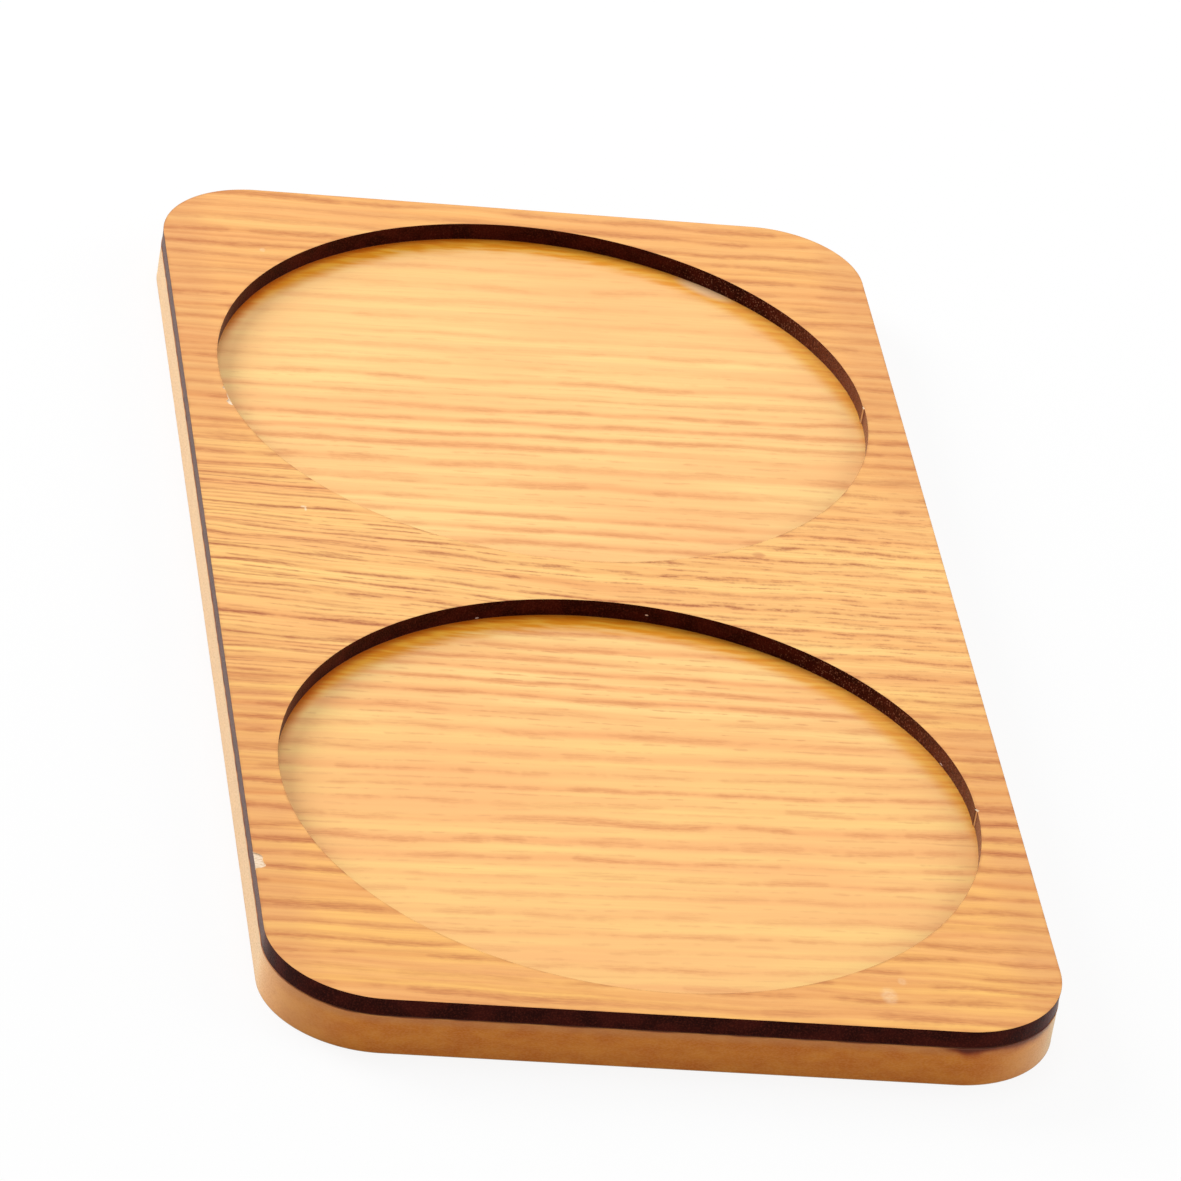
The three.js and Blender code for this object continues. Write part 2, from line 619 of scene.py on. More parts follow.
def paint_top_grain(recipe, x, y, across, ends):
    """The dashes of the top face: thin ones on the land between the wells, and broad ones elsewhere. Gives
    the rows of the thin ones."""
    from_left = x + half_width_mm
    along = from_left + SHORTER_TO_RIGHT * from_left * from_left
    gaps = TOP_GAPS - recipe.ramp(x, LEFT_TO_MIDDLE, (FEWER_GAPS_LEFT, 0))
    fine, _ = dash_rows(recipe, along, across, TOP_FINE._replace(gaps=gaps))
    rows, bands = dash_rows(recipe, along, across, TOP_ROWS._replace(gaps=gaps))
    broad, broad_bands = dash_rows(recipe, x, across, TOP_BROAD)
    strength = recipe.ramp(y, *TOP_NEAR_FADE) * recipe.ramp(y, *TOP_FAR_FADE)
    thin_strength = strength * recipe.ramp(x, *TOP_RIGHT_FADE)
    end_shading = broad_bands * ends * strength * END_BAND_STRENGTH
    recipe.paint((bands * LAND_BAND_STRENGTH).at_least(end_shading), TOP_BAND)
    recipe.paint(fine * thin_strength * recipe.ramp(ends, UNIT, TOP_FINE_STRENGTH), TOP_FINE_DASH)
    recipe.paint(rows * thin_strength * recipe.ramp(ends, UNIT, TOP_ROW_STRENGTH), TOP_DASH)
    recipe.paint(broad * strength * ends, TOP_BROAD_DASH)
    return rows


# Oak print of the top face: scorch, scuffs and knots. Each mark is a place and how far it reaches, and a
# scuff also how pale it is.
SCORCHED = srgb(150, 84, 40)
SCUFFED = srgb(255, 240, 206)
KNOT_BROWN = srgb(186, 100, 62)
SCORCH_BY_INSET = Change((0.05, 0.45), (0.3, 0))
SCORCH_SIZE = (2.5, 2.5)
SCORCH_SPAN = (0.35, 0.7)
WEAR_SIZE = (0.5, 0.5)
WEAR = Change((0.3, 0.65), (0.5, 1))
SCUFFS = [
    ((-36.4, 14.1), (0.55, 0.3), 0.6),
    ((-36.2, 13.5), (0.2, 0.6), 0.55),
    ((29.2, -89.8), (0.7, 1.0), 0.18),
    ((27.1, -93.1), (1.3, 2.2), 0.26),
    ((-36.3, 82.8), (0.5, 0.7), 0.3),
]
KNOTS = [
    ((24.6, 9.4), (1.1, 1.0)),
    ((-25.0, -9.1), (1.0, 0.4)),
]
KNOT_STRENGTH = 0.4


def paint_scorch(recipe, x, y):
    """Patches of scorch along the cut edges of the top face."""
    from_middle, _, _ = well_place(recipe, x, y)
    inset = (from_middle - well_radius / MM).at_most(plate_inset(x, y))
    patches = recipe.bumps((x, y), SCORCH_SIZE, detail=2)
    recipe.paint(recipe.ramp(inset, *SCORCH_BY_INSET) * recipe.ramp(patches, SCORCH_SPAN), SCORCHED)


def paint_marks(recipe, x, y):
    """Scuffs and small knots of the top face."""
    worn_off = recipe.ramp(recipe.bumps((x, y), WEAR_SIZE, detail=2), *WEAR)
    for centre, reach, strength in SCUFFS:
        recipe.paint(spot(recipe, (x, y), centre, reach) * worn_off * strength, SCUFFED)
    for centre, reach in KNOTS:
        recipe.paint(spot(recipe, (x, y), centre, reach) * KNOT_STRENGTH, KNOT_BROWN)


def oak_top_material():
    recipe = Recipe("oak_print_top")
    x, y, _ = recipe.place()
    across = top_across(recipe, x, y)
    ends = recipe.ramp(abs(y), LAND_TO_ENDS)
    fibres = paint_top_ground(recipe, x, y, across, ends)
    rows = paint_top_grain(recipe, x, y, across, ends)
    paint_scorch(recipe, x, y)
    paint_marks(recipe, x, y)
    return finish_print(recipe, fibres, rows, roughness=0.42, dash_roughness=0.15, relief_depth=0.015 * MM)


# Oak print of the base, the floor of the wells: its ground
BASE_NEAR_LIGHT = srgb(251, 206, 127)
BASE_MIDDLE_LIGHT = srgb(252, 211, 137)
BASE_FAR_LIGHT = srgb(250, 198, 127)
BASE_NEAR_DARK = srgb(248, 190, 119)
BASE_FAR_DARK = srgb(250, 197, 128)
BASE_FIBRE = srgb(240, 174, 106)
BASE_PINK = srgb(248, 183, 117)
BASE_SEED = 30  # sets the noises of this print apart from those of the top face
NEAR_TO_CALM = (-40, -24)  # from short dashes to long calm ones
SHARP_TO_SOFT = (-30, 40)
BASE_SWAYS = [Sway((75, 32), 1.2), Sway((12, 4), 0.6), Sway((3, 2), 0.25)]
NEAR_LEAN = Change((-44, -26), (0.042, 0.005))  # slopes of the rows, which add up
FAR_LEAN = Change((0, 60), (0, 0.035))
CLOSING_ROWS = Change((-34, -10), (0, 4.5))  # how far rows are moved up, so that they lie closer
FAR_PINKER = Change((64, 86), (0, 0.8))
BASE_FIBRE_SIZE = (20, 0.4)
BASE_FIBRE_AMOUNT = (0.2, 0)
BASE_PINK_SIZE = (35, 9)
BASE_PINK_AMOUNT = (0, 0.5)


def base_across(recipe, x, y):
    """The way across the grain of the base, whose rows lean, and close up in the near well."""
    lean = recipe.ramp(y, *NEAR_LEAN) + recipe.ramp(y, *FAR_LEAN)
    closer = recipe.ramp(y, *CLOSING_ROWS)
    return swayed(recipe, x, y, BASE_SWAYS, seed=BASE_SEED) - x * lean + closer


def paint_base_ground(recipe, x, y, across, calm, soft):
    """The colour that the dashes of the base lie on. Gives its fine fibres."""
    light = recipe.mix(calm, BASE_NEAR_LIGHT, BASE_MIDDLE_LIGHT)
    light = recipe.mix(recipe.ramp(y, *FAR_PINKER), light, BASE_FAR_LIGHT)
    dark = recipe.mix(soft, BASE_NEAR_DARK, BASE_FAR_DARK)
    tone = recipe.bumps((x, across), TONE_SIZE, detail=1, seed=BASE_SEED)
    recipe.colour = recipe.mix(recipe.ramp(tone, MOST_NOISE), light, dark)
    fibres = recipe.bumps((x, across), BASE_FIBRE_SIZE, detail=2, seed=BASE_SEED)
    recipe.paint(recipe.ramp(fibres, FIBRE_SPAN, BASE_FIBRE_AMOUNT), BASE_FIBRE)
    pinkish = recipe.bumps((x, across), BASE_PINK_SIZE, detail=2, seed=BASE_SEED)
    recipe.paint(recipe.ramp(pinkish, PINK_SPAN, BASE_PINK_AMOUNT), BASE_PINK)
    return fibres


# Oak print of the base: its dashes
BASE_BAND = srgb(242, 170, 106)
BASE_FINE_DASH = srgb(210, 138, 84)
BASE_DASH = srgb(206, 132, 76)
BASE_ROWS = Grain(pitch=4.1, length=12.0, half_width=0.8, gaps=0.36, seed=11.3)
BASE_FINE = Grain(pitch=1.6, length=4.0, half_width=0.25, gaps=0.4, seed=14.9)
BASE_NEAR_LENGTH = 7  # of the dashes of the main rows, before they grow calm
BASE_SHARP_HALF_WIDTH = 0.7  # the same, before they grow soft
BASE_NEAR_FADE = Change((-80, -55), (0.65, 1))
BASE_FAR_FADE = Change((45, 68), (1, 0.5))
BASE_BAND_STRENGTH = 0.75
BASE_ROW_STRENGTH = (0.7, 0.6)  # where rows are sharp, and where they are soft
BASE_FINE_CALM = (0.45, 0.85)
BASE_FINE_SOFT = Change((0, 0.6), (1, 0.5))


def paint_base_grain(recipe, x, y, across, calm, soft):
    """The dashes of the base: short and sharp in the near well, long and soft in the far one. Gives the main
    rows."""
    length = recipe.ramp(calm, UNIT, (BASE_NEAR_LENGTH, BASE_ROWS.length))
    half_width = recipe.ramp(soft, UNIT, (BASE_SHARP_HALF_WIDTH, BASE_ROWS.half_width))
    rows, bands = dash_rows(recipe, x, across, BASE_ROWS._replace(length=length, half_width=half_width))
    fine, _ = dash_rows(recipe, x, across, BASE_FINE)
    strength = recipe.ramp(y, *BASE_NEAR_FADE) * recipe.ramp(y, *BASE_FAR_FADE)
    fine_strength = recipe.ramp(calm, UNIT, BASE_FINE_CALM) * recipe.ramp(soft, *BASE_FINE_SOFT)
    recipe.paint(bands * strength * BASE_BAND_STRENGTH, BASE_BAND)
    recipe.paint(fine * strength * fine_strength, BASE_FINE_DASH)
    recipe.paint(rows * strength * recipe.ramp(soft, UNIT, BASE_ROW_STRENGTH), BASE_DASH)
    return rows


# Smoke stains and painted shade on the base, along the foot of the far walls of the wells. East and north
# say where a point lies as seen from the middle of its well, each from -1 to 1.
SMOKE_AND_SHADE_DARK = srgb(232, 144, 14)
SMOKE_AND_SHADE_LIGHT = srgb(242, 172, 50)
BURNT_AND_SHADED_FOOT = srgb(206, 92, 4)
SMOKE_AND_SHADE_STREAK_SIZE = (6, 0.9)
SMOKE_AND_SHADE_STREAK_SPAN = (-0.12, 0.12)
SMOKE_AND_SHADE_FRINGE = Change((0.6, 0.95), (0.8, 3.5))  # how far streaks fray the stain and its painted shade, by north
SMOKE_AND_SHADE_TURN = 0.15  # how far the stain and its painted shade are turned to the east
SMOKE_AND_SHADE_TURN_EAST = 0.1  # and how much further on the eastern side
SMOKE_AND_SHADE_REACH = Change((-0.35, 0.75), (-2, 4.2))  # how far from the wall the stain and its painted shade reach, by north
SMOKE_AND_SHADE_RIM = (-2.4, 0.3)  # where the stain and its painted shade fade out, past their reach
SMOKE_AND_SHADE_BY_EAST = Change((0, 0.9), (1, 0.75))
FOOT_WIDTH = (0, 1.8)
FOOT_FRINGE = 0.5  # how much of the fraying the burnt and shaded line has
FOOT_BY_NORTH = (0.1, 0.5)
FOOT_BY_EAST = Change((-0.5, 0.6), (0.85, 0.12))


def paint_smoke_and_shade(recipe, x, y, across):
    """Smoke stains under the far wall of each well, painted together with the shade that the wall casts on
    the floor, and the burnt line at its foot, which is darkened further as painted shade.
    """
    from_middle, east, north = well_place(recipe, x, y)
    from_wall = well_radius / MM - from_middle
    streaks = recipe.bumps((x, across), SMOKE_AND_SHADE_STREAK_SIZE, detail=2) - MIDDLE
    fringe = streaks * recipe.ramp(north, *SMOKE_AND_SHADE_FRINGE)
    turned_north = SMOKE_AND_SHADE_TURN * east + SMOKE_AND_SHADE_TURN_EAST * east.at_least(0.0) + north
    reach = recipe.ramp(turned_north, *SMOKE_AND_SHADE_REACH)
    stain_and_shade = recipe.ramp(from_wall + fringe - reach, SMOKE_AND_SHADE_RIM, FALLING)
    stain_and_shade_colour = recipe.mix(recipe.ramp(streaks, SMOKE_AND_SHADE_STREAK_SPAN), SMOKE_AND_SHADE_DARK, SMOKE_AND_SHADE_LIGHT)
    # the smoke stain and the painted shade of the far wall, laid on together
    recipe.paint(stain_and_shade * recipe.ramp(east, *SMOKE_AND_SHADE_BY_EAST), stain_and_shade_colour)
    foot = recipe.ramp(from_wall + FOOT_FRINGE * fringe, FOOT_WIDTH, FALLING)
    burnt = foot * recipe.ramp(north, FOOT_BY_NORTH)
    # the burnt line at the foot of the wall, partly painted shade
    recipe.paint(burnt * recipe.ramp(east, *FOOT_BY_EAST), BURNT_AND_SHADED_FOOT)


# Wiped glue at the wall of the far well
GLUE_HAZE = srgb(238, 206, 168)
HAZE_ANGLE = math.radians(52)  # seen from the middle of the well
HAZE_INSET = 0.3  # from the wall
HAZE_REACH = (2.4, 5.5)  # inwards from there, and along the wall
HAZE_STRENGTH = 0.65
HAZE_SIDE_X = (0, 10)  # the spans that keep the haze to this side of the well
HAZE_SIDE_Y = (50, 60)


def paint_glue_haze(recipe, x, y):
    from_middle, _, _ = well_place(recipe, x, y)
    from_wall = well_radius / MM - from_middle
    along_wall = (y - far_well_y / MM) * math.cos(HAZE_ANGLE) - x * math.sin(HAZE_ANGLE)
    this_side = recipe.ramp(x, HAZE_SIDE_X) * recipe.ramp(y, HAZE_SIDE_Y)
    haze = spot(recipe, (from_wall, along_wall), (HAZE_INSET, 0), HAZE_REACH) * this_side
    recipe.paint(haze * HAZE_STRENGTH, GLUE_HAZE)


# Outer edge of the base's foil, which the laser singed unevenly
SINGED_LIGHT = srgb(206, 134, 68)
SINGED_DARK = srgb(150, 80, 34)
SINGED_CORNER = srgb(96, 30, 8)
SINGED_WIDTH = (0.1, 0.4)
SINGED_SIZE = (5, 2.5)
SINGED_SPAN = (0.35, 0.65)
SINGED_CORNER_STRENGTH = 0.9


def paint_singed_edge(recipe, x, y):
    uneven = recipe.bumps((x, y), SINGED_SIZE, detail=1)
    singed = recipe.mix(recipe.ramp(uneven, SINGED_SPAN), SINGED_LIGHT, SINGED_DARK)
    singed = recipe.mix(burnt_corner(recipe, x, y) * SINGED_CORNER_STRENGTH, singed, SINGED_CORNER)
    recipe.paint(recipe.ramp(plate_inset(x, y), SINGED_WIDTH, FALLING), singed)


def oak_base_material():
    recipe = Recipe("oak_print_base")
    x, y, _ = recipe.place()
    across = base_across(recipe, x, y)
    calm = recipe.ramp(y, NEAR_TO_CALM)
    soft = recipe.ramp(y, SHARP_TO_SOFT)
    fibres = paint_base_ground(recipe, x, y, across, calm, soft)
    rows = paint_base_grain(recipe, x, y, across, calm, soft)
    paint_smoke_and_shade(recipe, x, y, across)
    paint_glue_haze(recipe, x, y)
    paint_singed_edge(recipe, x, y)
    return finish_print(recipe, fibres, rows, roughness=0.4, dash_roughness=0.12, relief_depth=0.01 * MM)


# Charred edge of the top board
CHAR_DARK = srgb(42, 8, 4)
CHAR_LIGHT = srgb(62, 16, 9)
CHAR_GRAIN = srgb(88, 36, 24)
CHAR_SHEEN = srgb(240, 196, 172)
CHAR_CLOUD_SIZE = (3, 3, 2)
CHAR_GRAIN_SIZE = (0.22, 0.22, 0.22)
CHAR_GRAIN_AMOUNT = Change((0.45, 0.75), (0, 0.6))
CHAR_STRIPE_SIZE = (0.35, 0.35, 5)
CHAR_RELIEF = 0.6  # of the grains and of the stripes
CHAR_ROUGHNESS = (0.25, 0.45)


def paint_char(recipe, place, grains):
    """The even char of every edge."""
    clouds = recipe.bumps(place, CHAR_CLOUD_SIZE)
    recipe.colour = recipe.mix(recipe.ramp(clouds, MOST_NOISE), CHAR_DARK, CHAR_LIGHT)
    recipe.paint(recipe.ramp(grains, *CHAR_GRAIN_AMOUNT), CHAR_GRAIN)


# Paler char on the eastern walls of the wells, which face the light: pale specks, browner char that is
# partly less burnt and partly painted light, and past each seam char that is less burnt, with a painted
# sheen
CHAR_SPECK = srgb(160, 112, 90)
CHAR_BROWN = srgb(120, 62, 38)
CHAR_LESS_BURNT_AND_SHEEN = srgb(156, 108, 80)
WALL_INSET = (1, 2)  # tells the walls of the wells from the outer edge
SPECK_CELL = 0.28
SPECK_RADIUS = (0.15, 0.5)  # as shares of a cell
SPECK_CHANCE = (0.3, 0.75)
SPECK_BY_EAST = Change((0.35, 0.85), (0.05, 0.7))
BROWN_BY_EAST = (0.75, 1)
BROWN_BY_GRAIN = (0.2, 0.6)
BROWNER_FAR_WELL = Change((-10, 10), (1, 1.5))
LESS_BURNT_AND_SHEEN_BY_EAST = (0.8, 0.95)
LESS_BURNT_AND_SHEEN_BY_NORTH = Change((-0.03, 0.01), (0.4, 0))


def paint_paler_walls(recipe, place, grains):
    x, y, _ = place
    _, east, north = well_place(recipe, x, y)
    on_wall = recipe.ramp(plate_inset(x, y), WALL_INSET)
    distance, chance = recipe.cells(place, SPECK_CELL)
    specks = recipe.ramp(distance, SPECK_RADIUS, FALLING) * recipe.ramp(chance, SPECK_CHANCE)
    recipe.paint(specks * on_wall * recipe.ramp(east, *SPECK_BY_EAST), CHAR_SPECK)
    # browner char: partly less burnt, partly painted light on the walls that face the light
    browner = recipe.ramp(east, BROWN_BY_EAST) * recipe.ramp(grains, MOST_NOISE, BROWN_BY_GRAIN)
    recipe.paint(browner * on_wall * recipe.ramp(y, *BROWNER_FAR_WELL), CHAR_BROWN)
    # past the seam: less burnt char with a painted sheen, where the wall is seen edge-on
    less_burnt_and_sheen = recipe.ramp(north, *LESS_BURNT_AND_SHEEN_BY_NORTH) * recipe.ramp(east, LESS_BURNT_AND_SHEEN_BY_EAST)
    recipe.paint(less_burnt_and_sheen * on_wall, CHAR_LESS_BURNT_AND_SHEEN)


# Pale spots on the charred edge. The flecks of dust lie on the near well's wall, and each is a place and how
# far it reaches.
SEAM_TAN = srgb(200, 150, 100)
CHIP_PALE = srgb(236, 208, 174)
DUST_PALE = srgb(232, 206, 196)
SEAM_REACH = (1.5, 0.22)
CHIP_REACH = 1.3  # how far round a chip the foil's edge is torn pale, in half widths of the chip
CHIP_SPAN = (0, 0.2)
FOIL_START = 0.01  # the height above the board over which the pale tear begins
DUST = [
    ((7.7, -5.7, 6.7), (0.3, 0.4, 0.14)),
    ((-15.0, -7.6, 5.75), (0.35, 0.4, 0.12)),
    ((42.8, -36.1, 5.8), (0.5, 0.5, 0.12)),
]


def paint_pale_spots(recipe, place):
    """Seams, torn foil round the chips, and dust."""
    x, y, z = place
    for seam in SEAMS:
        recipe.paint(spot(recipe, (x, y), seam / MM, SEAM_REACH), SEAM_TAN)
    board_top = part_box("top_core")[1][2] / MM
    in_foil = recipe.ramp(z, (board_top, board_top + FOIL_START))
    for chip in CHIPS:
        reach = CHIP_REACH * chip.half_width / MM
        near_chip = spot(recipe, (x, y), chip.place / MM, (reach, reach))
        recipe.paint(recipe.ramp(near_chip, CHIP_SPAN) * in_foil, CHIP_PALE)
    for centre, reach in DUST:
        recipe.paint(spot(recipe, place, centre, reach), DUST_PALE)


def charred_edge_material():
    recipe = Recipe("charred_edge")
    place = recipe.place()
    grains = recipe.bumps(place, CHAR_GRAIN_SIZE, detail=1)
    stripes = recipe.bumps(place, CHAR_STRIPE_SIZE, detail=1)
    paint_char(recipe, place, grains)
    paint_paler_walls(recipe, place, grains)
    paint_pale_spots(recipe, place)
    recipe.sheen(weight=0.22, roughness=0.3, tint=CHAR_SHEEN)
    roughness = recipe.ramp(grains, MOST_NOISE, CHAR_ROUGHNESS)
    relief = stripes * CHAR_RELIEF + grains * CHAR_RELIEF
    return recipe.finish(roughness, relief, relief_depth=0.03 * MM, ior=1.1)


# Torn board, where a chip bares the top board
TORN_DARK = srgb(224, 192, 156)
TORN_LIGHT = srgb(250, 228, 202)
TORN_FIBRE_SIZE = (0.5, 0.12, 0.2)
TORN_SPAN = (0.35, 0.65)


def torn_board_material():
    recipe = Recipe("torn_board")
    fibres = recipe.bumps(recipe.place(), TORN_FIBRE_SIZE, detail=2)
    recipe.colour = recipe.mix(recipe.ramp(fibres, TORN_SPAN), TORN_DARK, TORN_LIGHT)
    return recipe.finish(roughness=0.9, relief=fibres, relief_depth=0.1 * MM, ior=1.3)


# Edge of the fibre board. Heights are measured from the floor of the wells.
BOARD_DARK = srgb(202, 110, 29)
BOARD_LIGHT = srgb(215, 130, 44)
# painted sheen of the long sides and the corners
BOARD_SIDES_PAINTED_SHEEN = srgb(236, 184, 124)
BOARD_GRAIN = srgb(226, 158, 84)
# painted highlight along the top of the edge
BOARD_TOP_HIGHLIGHT = srgb(220, 162, 106)
BOARD_RED = srgb(160, 54, 2)
BOARD_BURNT = srgb(78, 14, 2)
BOARD_SHEEN = srgb(255, 238, 192)
BOARD_MOTTLE_SIZE = (4, 4, 1.6)
BOARD_GRAIN_SIZE = (0.35, 0.35, 0.15)
BOARD_GRAIN_AMOUNT = Change((0.4, 0.7), (0, 0.3))
BOARD_ROUGHNESS = (0.22, 0.36)
LONG_SIDES_PAINTED_SHEEN = Change((38, 49), (0, 0.35))
PAINTED_TOP_HIGHLIGHT = Change((-1.4, -0.3), (0, 0.4))
BURN_SIZE = (3, 3, 4)
RED_RAGGEDNESS = 1.8
RED_HEIGHT = (-0.8, 0.9)
RED_BY_CORNER = (0.25, 0.95)
BURN_RAGGEDNESS = 1.2
BURN_BY_HEIGHT = Change((-0.3, 0.6), (0, 0.9))


def paint_board(recipe, place, grains):
    """Mottled tan fibres, with a painted sheen along the long sides and round the corners, and a painted
    highlight along the top.
    """
    x, _, z = place
    mottle = recipe.bumps(place, BOARD_MOTTLE_SIZE, detail=2)
    recipe.colour = recipe.mix(recipe.ramp(mottle, MOST_NOISE), BOARD_DARK, BOARD_LIGHT)
    # painted sheen: paler towards the long sides and corners, where the light grazes the edge
    recipe.paint(recipe.ramp(abs(x), *LONG_SIDES_PAINTED_SHEEN), BOARD_SIDES_PAINTED_SHEEN)
    recipe.paint(recipe.ramp(grains, *BOARD_GRAIN_AMOUNT), BOARD_GRAIN)
    # painted highlight: a paler band along the top of the edge
    recipe.paint(recipe.ramp(z - well_floor / MM, *PAINTED_TOP_HIGHLIGHT), BOARD_TOP_HIGHLIGHT)


def paint_burns(recipe, place):
    """A faint red along the top of the edge, and a dark burn at the burnt corner."""
    x, y, z = place
    height = z - well_floor / MM
    corner = burnt_corner(recipe, x, y)
    ragged = recipe.bumps(place, BURN_SIZE, detail=1)
    reddened = recipe.ramp(height + RED_RAGGEDNESS * ragged, RED_HEIGHT)
    recipe.paint(reddened * recipe.ramp(corner, UNIT, RED_BY_CORNER), BOARD_RED)
    burnt = recipe.ramp(height + BURN_RAGGEDNESS * ragged, *BURN_BY_HEIGHT)
    recipe.paint(burnt * corner, BOARD_BURNT)


def fibre_board_material():
    recipe = Recipe("fibre_board_edge")
    place = recipe.place()
    grains = recipe.bumps(place, BOARD_GRAIN_SIZE, detail=2)
    paint_board(recipe, place, grains)
    paint_burns(recipe, place)
    recipe.sheen(weight=1.0, roughness=0.42, tint=BOARD_SHEEN)
    roughness = recipe.ramp(grains, MOST_NOISE, BOARD_ROUGHNESS)
    return recipe.finish(roughness, relief=grains, relief_depth=0.006 * MM, ior=1.2)


# Glue line, painted dark: the dark stands in for the shade in its narrow recess
GLUE_DARK = srgb(64, 28, 12)
GLUE_LIGHT = srgb(104, 56, 26)
GLUE_BEAD_SIZE = (1.5, 1.5, 1)


def glue_material():
    recipe = Recipe("dried_glue")
    beads = recipe.bumps(recipe.place(), GLUE_BEAD_SIZE)
    # painted shade: the glue is coloured as dark as its shaded recess
    recipe.colour = recipe.mix(beads, GLUE_DARK, GLUE_LIGHT)
    return recipe.finish(roughness=0.5, relief=beads, relief_depth=0.03 * MM, ior=1.35)


# Backing paper of the underside
BACKING_DARK = srgb(200, 154, 99)
BACKING_LIGHT = srgb(212, 168, 114)
BACKING_FIBRE = srgb(226, 190, 142)
BACKING_CLOUD_SIZE = (15, 9)
BACKING_FIBRE_SIZE = (0.8, 0.5)
BACKING_FIBRE_AMOUNT = Change((0.4, 0.7), (0, 0.3))


def backing_material():
    recipe = Recipe("backing_paper")
    x, y, _ = recipe.place()
    clouds = recipe.bumps((x, y), BACKING_CLOUD_SIZE, detail=1)
    fibres = recipe.bumps((x, y), BACKING_FIBRE_SIZE, detail=3)
    recipe.colour = recipe.mix(recipe.ramp(clouds, MOST_NOISE), BACKING_DARK, BACKING_LIGHT)
    recipe.paint(recipe.ramp(fibres, *BACKING_FIBRE_AMOUNT), BACKING_FIBRE)
    return recipe.finish(roughness=0.7, relief=fibres, relief_depth=0.02 * MM, ior=FOIL_IOR)


oak_top = oak_top_material()
oak_base = oak_base_material()
charred_edge = charred_edge_material()
torn_board = torn_board_material()
fibre_board = fibre_board_material()
dried_glue = glue_material()
backing_paper = backing_material()


# Layers, in metres again
class Waver(NamedTuple):
    """How far an edge strays to either side, and how long its bumps are."""

    depth: float
    length: float

    def along(self, outline, seed):
        return self.depth * outline.bumps(self.length, seed)


WORN_IN = 0.07 * MM  # how far the lower edge of the backing is worn in, at its foot and above it
WORN_IN_ABOVE = 0.02 * MM
WORN_HEIGHT = 0.04 * MM
BASE_WAVER = Waver(0.02 * MM, 4 * MM)
BASE_FOIL_ROUNDING = 0.05 * MM
GLUE_INSET = 0.1 * MM
GLUE_WAVER = Waver(0.05 * MM, 5 * MM)
KERF = 0.06 * MM  # how far the laser's cut stands back from the plate's outline
CUT_STRIPES = Waver(0.012 * MM, 0.7 * MM)
CUT_WAVER = Waver(0.02 * MM, 6 * MM)
FOIL_OVERHANG = 0.035 * MM  # how far the top foil stands out over the cut
OVERHANG_WAVER = Waver(0.01 * MM, 1.5 * MM)
TOP_FOIL_ROUNDING = 0.02 * MM
BOARD_RINGS = 9  # rings of vertices up the edge of a board
ROUNDING_RINGS = 4


def heights(node):
    """The lowest and the highest z of a node."""
    low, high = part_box(node)
    return low[2], high[2]


def board_levels(low, high):
    """The rings of a board's edge, each as its share of the way up and its height."""
    return [(share, low + share * (high - low)) for share in np.linspace(0, 1, BOARD_RINGS)]


def rounded_sheet(low, high, inset, radius):
    """Rings of a thin sheet whose upper edge is rounded."""
    rings = [(inset, low)]
    for turn in np.linspace(0, QUARTER_TURN, ROUNDING_RINGS):
        rings.append((inset + radius * (1 - math.cos(turn)), high - radius * (1 - math.sin(turn))))
    return rings


def stands_for(node):
    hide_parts(node)


def add_backing_sheet():
    low, high = heights("base_back_foil")

    def section(outline):
        return [(WORN_IN, low), (WORN_IN_ABOVE, low + WORN_HEIGHT), (0, high)]

    piece = swept_plate("backing_sheet", solid_plate, section, backing_paper, backing_paper)
    stands_for("base_back_foil")


def add_base_board():
    low, high = heights("base_core")

    def section(outline):
        rings = []
        for share, height in board_levels(low, high):
            inset = BASE_WAVER.depth + BASE_WAVER.along(outline, seed=2 * share)
            rings.append((inset, height))
        return rings

    piece = swept_plate("base_board", solid_plate, section, fibre_board, fibre_board)
    stands_for("base_core")


def add_oak_base_sheet():
    low, high = heights("base_face_foil")

    def section(outline):
        return rounded_sheet(low, high, 0.0, BASE_FOIL_ROUNDING)

    piece = swept_plate("oak_base_sheet", solid_plate, section, oak_base, oak_base)
    stands_for("base_face_foil")


def add_glue_line():
    low, high = heights("adhesive_film")

    def section(outline):
        inset = GLUE_INSET + GLUE_WAVER.along(outline, seed=2.0)
        return [(inset, low), (inset, high)]

    piece = swept_plate("glue_line", plate_with_wells, section, dried_glue, dried_glue)
    stands_for("adhesive_film")


def add_charred_board():
    low, high = heights("top_core")

    def section(outline):
        seams = seam_steps(outline)
        rings = []
        for share, height in board_levels(low, high):
            stripes = CUT_STRIPES.along(outline, seed=share)
            waver = CUT_WAVER.along(outline, seed=4 + share)
            rings.append((KERF + stripes + waver - seams, height))
        return rings

    piece = swept_plate("charred_board", plate_with_wells, section, charred_edge, torn_board)
    stands_for("top_core")


def add_oak_top_sheet():
    low, high = heights("top_face_foil")

    def section(outline):
        overhang = FOIL_OVERHANG + OVERHANG_WAVER.along(outline, seed=8.0)
        inset = KERF - overhang + chip_depths(outline) - seam_steps(outline)
        return rounded_sheet(low, high, inset, TOP_FOIL_ROUNDING)

    piece = swept_plate("oak_top_sheet", plate_with_wells, section, charred_edge, oak_top)
    stands_for("top_face_foil")


add_backing_sheet()
add_base_board()
add_oak_base_sheet()
add_glue_line()
add_charred_board()
add_oak_top_sheet()

# Camera, at the photograph's viewing angle
VIEW_HEADING = math.radians(11.80)  # turned from +Y towards +X
VIEW_DOWN = math.radians(30.89)
VIEW_ROLL = math.radians(9.89)
VIEW_DISTANCE = 1068.9 * MM
VIEW_TARGET = Vector((0.36 * MM, -2.44 * MM, plate_top))
LENS_MM = 247.56
SENSOR_MM = 36.0


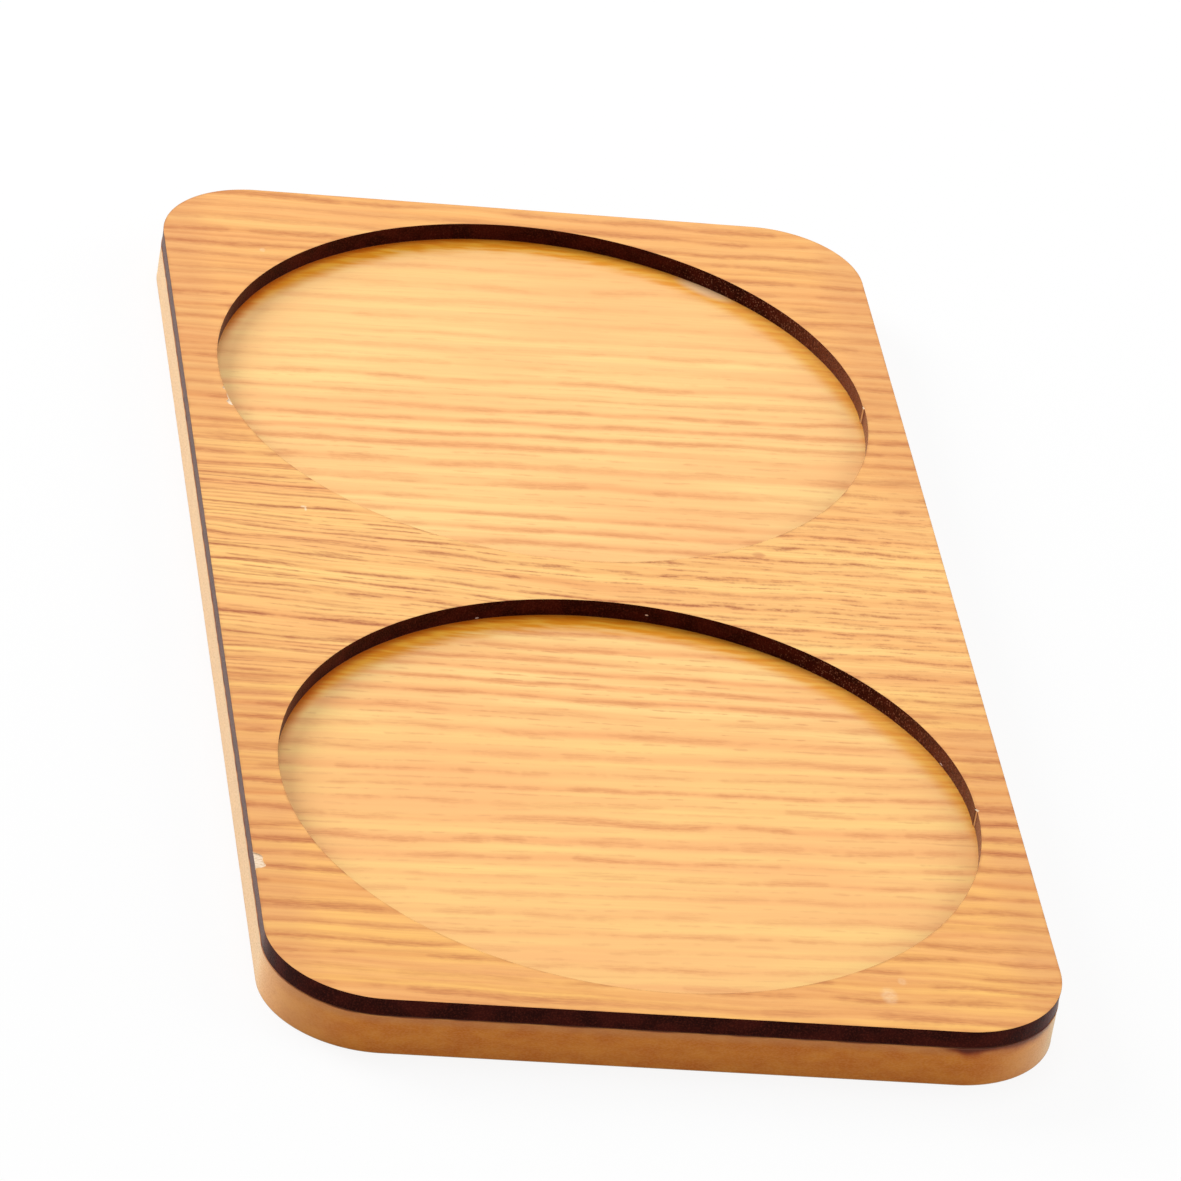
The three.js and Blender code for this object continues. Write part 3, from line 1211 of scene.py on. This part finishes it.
def add_camera():
    data = bpy.data.cameras.new("camera")
    data.sensor_fit = "HORIZONTAL"
    data.sensor_width = SENSOR_MM
    data.lens = LENS_MM
    camera = bpy.data.objects.new("camera", data)
    bpy.context.scene.collection.objects.link(camera)
    turn = Matrix.Rotation(-VIEW_HEADING, 4, "Z") @ Matrix.Rotation(QUARTER_TURN - VIEW_DOWN, 4, "X")
    place = Matrix.Translation(VIEW_TARGET) @ turn @ Matrix.Translation((0, 0, VIEW_DISTANCE))
    camera.matrix_world = place @ Matrix.Rotation(VIEW_ROLL, 4, "Z")
    bpy.context.scene.camera = camera


# Stage and light
WHITE = (1, 1, 1, 1)
FLOOR_SIZE = 6.0
FLOOR_GAP = 0.02 * MM  # between the floor and the underside of the coaster
FLOOR_GREY = (0.85, 0.85, 0.85, 1)
FLOOR_WHITENESS = 0.88  # how far the floor looks plain white, the rest being its own lit colour
SKY_STRENGTH = 0.46


class Lamp(NamedTuple):
    """A round soft light: its name, its place in metres, its width in metres, and its power in watts."""

    name: str
    place: tuple
    size: float
    power: float


LAMPS = [
    Lamp("left_light", (-0.95, 0.85, 0.65), 0.8, 14.5),
    Lamp("right_light", (1.3, 0.0, 0.65), 1.4, 7),
    Lamp("top_light", (0.0, 0.45, 1.5), 1.0, 7.4),
]


def floor_material():
    """Pale grey, and to the camera and to reflections mostly plain white, so that a soft shadow stays."""
    recipe = Recipe("pale_floor")
    nodes = recipe.tree.nodes
    nodes.remove(recipe.shader)
    path = nodes.new("ShaderNodeLightPath").outputs
    seen = Signal(recipe, path["Is Camera Ray"])
    for ray in ("Is Glossy Ray", "Is Transmission Ray"):
        seen = seen.at_least(Signal(recipe, path[ray]))
    lit = nodes.new("ShaderNodeBsdfDiffuse")
    lit.inputs["Color"].default_value = FLOOR_GREY
    white = nodes.new("ShaderNodeEmission")
    mixed = nodes.new("ShaderNodeMixShader")
    recipe.feed(mixed.inputs[0], seen * FLOOR_WHITENESS)
    recipe.tree.links.new(lit.outputs[0], mixed.inputs[1])
    recipe.tree.links.new(white.outputs[0], mixed.inputs[2])
    recipe.tree.links.new(mixed.outputs[0], nodes["Material Output"].inputs["Surface"])
    return recipe.material


def add_floor():
    bpy.ops.mesh.primitive_plane_add(size=FLOOR_SIZE, location=(0, 0, -FLOOR_GAP))
    floor = bpy.context.object
    floor.name = "floor"
    floor.data.materials.append(floor_material())


def add_lamp(lamp):
    """Adds a lamp that faces the middle of the coaster."""
    data = bpy.data.lights.new(lamp.name, "AREA")
    data.shape = "DISK"
    data.size = lamp.size
    data.energy = lamp.power
    light = bpy.data.objects.new(lamp.name, data)
    light.location = lamp.place
    light.rotation_euler = (-Vector(lamp.place)).to_track_quat("-Z", "Y").to_euler()
    bpy.context.scene.collection.objects.link(light)


def add_sky():
    sky = bpy.data.worlds.new("soft_sky")
    sky.use_nodes = True
    background = sky.node_tree.nodes["Background"]
    background.inputs["Color"].default_value = WHITE
    background.inputs["Strength"].default_value = SKY_STRENGTH
    bpy.context.scene.world = sky


add_camera()
add_floor()
for lamp in LAMPS:
    add_lamp(lamp)
add_sky()
bpy.context.scene.view_settings.view_transform = "Standard"
